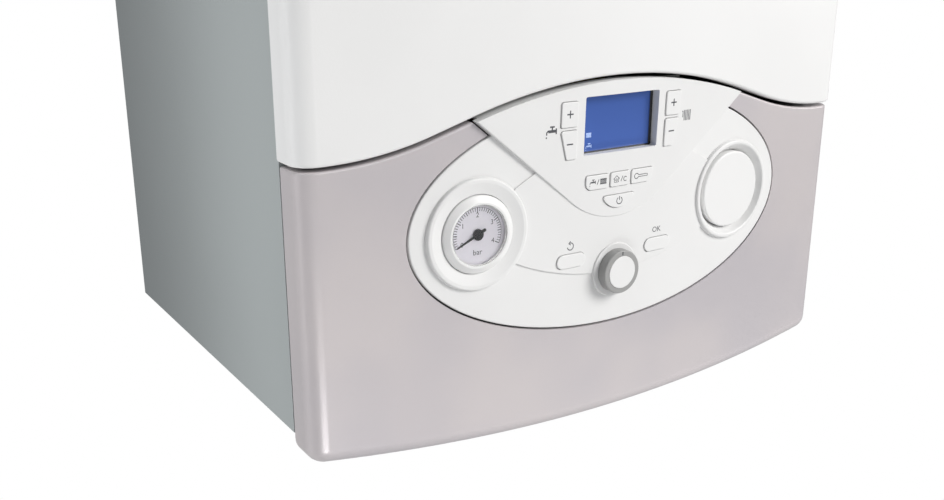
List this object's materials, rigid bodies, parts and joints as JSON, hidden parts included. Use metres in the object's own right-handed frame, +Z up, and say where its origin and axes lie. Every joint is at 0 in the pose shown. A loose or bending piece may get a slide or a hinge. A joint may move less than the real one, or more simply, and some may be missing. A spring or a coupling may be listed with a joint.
{
  "type": "combi boiler",
  "caption": "Wall-hung combi boiler: folded casing, bowed white cover, tilting silver fascia with an oval control panel, gauge, display, keys and knob, and the heating parts inside.",
  "frame": {"origin": "on the wall plane, on the casing's centre line, level with the bottom edge of the side panels", "axes": "+X to the right as seen from the front, +Y into the wall, +Z up"},
  "size_m": [0.4024, 0.3238, 0.852],
  "materials": {
    "painted_side": "satin light grey paint",
    "white_paint": "satin white paint",
    "galvanised": "zinc-coated sheet",
    "collar_plastic": "white",
    "flue_plastic": "white polypropylene",
    "red_paint": "red enamel",
    "cast_aluminium": "cast, dull",
    "black_plastic": "black, glass-filled",
    "grey_plastic": "grey",
    "blue_plastic": "blue",
    "black_rubber": "corrugated black",
    "stainless": "pressed stainless plates",
    "cast_iron": "coated",
    "pipe_brass": "copper and brass",
    "silver_plastic": "satin silver lacquer",
    "white_plastic": "white, fine satin",
    "circuit_board": "green board",
    "display_glass": "blue backlit display",
    "dial": "printed dial on a plastic case",
    "clear_lens": "clear lens",
    "pointer_black": "black",
    "knob_grey": "grey"
  },
  "bodies": {
    "casing": {"air_vent": "pipe_brass", "bottom_plate": "galvanised", "burner_door": "cast_aluminium", "chamber_floor": "galvanised", "condensate_hose": "black_rubber", "condensate_trap": "grey_plastic", "diverter_valve": "black_plastic", "exchanger_brackets": "galvanised", "expansion_vessel": "red_paint", "fan_housing": "cast_aluminium", "fan_motor": "black_plastic", "flow_block": "black_plastic", "flow_pipe": "pipe_brass", "flue_collar": "collar_plastic", "flue_duct": "flue_plastic", "gas_pipe": "pipe_brass", "gas_valve": "cast_aluminium", "heat_exchanger": "cast_aluminium", "hinge_lugs": "galvanised", "pipe_tails": "pipe_brass", "plate_exchanger": "stainless", "pump_body": "cast_iron", "pump_motor": "black_plastic", "rear_frame": "galvanised", "relief_valve": "pipe_brass", "return_block": "black_plastic", "return_pipe": "pipe_brass", "side_panel_left": "painted_side", "side_panel_right": "painted_side", "top_panel": "painted_side", "venturi": "black_plastic", "wall_bracket": "galvanised"},
    "front_cover": {"front_cover": "white_paint"},
    "control_box": {"fascia": "silver_plastic", "control_panel": "white_plastic", "control_housing": "black_plastic", "housing_lid": "black_plastic", "main_board": "circuit_board", "key_board": "circuit_board", "display_module": "display_glass", "gauge_case": "dial", "gauge_bezel": "white_plastic", "gauge_lens": "clear_lens", "blank_cap": "white_plastic", "knob_encoder": "black_plastic"},
    "knob": {"knob_ring": "knob_grey", "knob_cap": "white_plastic"},
    "needle": {"gauge_pointer": "pointer_black"},
    "fan_wheel": {"fan_impeller": "black_plastic"},
    "fill_tap": {"fill_tap": "blue_plastic"},
    "hot_water_plus_button": {"button_hot_water_plus": "white_plastic"},
    "hot_water_minus_button": {"button_hot_water_minus": "white_plastic"},
    "heating_plus_button": {"button_heating_plus": "white_plastic"},
    "heating_minus_button": {"button_heating_minus": "white_plastic"},
    "mode_button": {"button_mode": "white_plastic"},
    "comfort_button": {"button_comfort": "white_plastic"},
    "menu_button": {"button_menu": "white_plastic"},
    "power_button": {"button_power": "white_plastic"},
    "back_button": {"button_back": "white_plastic"},
    "ok_button": {"button_ok": "white_plastic"}
  },
  "joints": [
    {"name": "cover_tilt", "type": "hinge", "parent": "casing", "child": "front_cover", "pos_m": [0, -0.2655, 0.77], "axis": [-1, 0, 0], "range_deg": [0, 25]},
    {"name": "control_box_tilt", "type": "hinge", "parent": "casing", "child": "control_box", "pos_m": [0, -0.276, -0.002], "axis": [1, 0, 0], "range_deg": [0, 90]},
    {"name": "knob_turn", "type": "hinge", "parent": "control_box", "child": "knob", "pos_m": [0, -0.31, 0.0703], "axis": [0, -1, 0], "continuous": true},
    {"name": "gauge_needle", "type": "hinge", "parent": "control_box", "child": "needle", "pos_m": [-0.098, -0.31245, 0.107], "axis": [0.0478, 0.9989, 0], "range_deg": [0, 232]},
    {"name": "fan_spin", "type": "hinge", "parent": "casing", "child": "fan_wheel", "pos_m": [-0.062, -0.26, 0.318], "axis": [0, -1, 0], "continuous": true},
    {"name": "fill_tap_turn", "type": "hinge", "parent": "casing", "child": "fill_tap", "pos_m": [0.097, -0.118, -0.01], "axis": [0, 0, 1], "range_deg": [0, 90]},
    {"name": "press_hot_water_plus", "type": "slide", "parent": "control_box", "child": "hot_water_plus_button", "axis": [0, 1, 0], "range_m": [0, 0.001], "stiffness_N_per_m": 600, "springref_m": -0.0005},
    {"name": "press_hot_water_minus", "type": "slide", "parent": "control_box", "child": "hot_water_minus_button", "axis": [0, 1, 0], "range_m": [0, 0.001], "stiffness_N_per_m": 600, "springref_m": -0.0005},
    {"name": "press_heating_plus", "type": "slide", "parent": "control_box", "child": "heating_plus_button", "axis": [0, 1, 0], "range_m": [0, 0.001], "stiffness_N_per_m": 600, "springref_m": -0.0005},
    {"name": "press_heating_minus", "type": "slide", "parent": "control_box", "child": "heating_minus_button", "axis": [0, 1, 0], "range_m": [0, 0.001], "stiffness_N_per_m": 600, "springref_m": -0.0005},
    {"name": "press_mode", "type": "slide", "parent": "control_box", "child": "mode_button", "axis": [0, 1, 0], "range_m": [0, 0.001], "stiffness_N_per_m": 600, "springref_m": -0.0005},
    {"name": "press_comfort", "type": "slide", "parent": "control_box", "child": "comfort_button", "axis": [0, 1, 0], "range_m": [0, 0.001], "stiffness_N_per_m": 600, "springref_m": -0.0005},
    {"name": "press_menu", "type": "slide", "parent": "control_box", "child": "menu_button", "axis": [0, 1, 0], "range_m": [0, 0.001], "stiffness_N_per_m": 600, "springref_m": -0.0005},
    {"name": "press_power", "type": "slide", "parent": "control_box", "child": "power_button", "axis": [0, 1, 0], "range_m": [0, 0.001], "stiffness_N_per_m": 600, "springref_m": -0.0005},
    {"name": "press_back", "type": "slide", "parent": "control_box", "child": "back_button", "axis": [0, 1, 0], "range_m": [0, 0.001], "stiffness_N_per_m": 600, "springref_m": -0.0005},
    {"name": "press_ok", "type": "slide", "parent": "control_box", "child": "ok_button", "axis": [0, 1, 0], "range_m": [0, 0.001], "stiffness_N_per_m": 600, "springref_m": -0.0005}
  ]
}
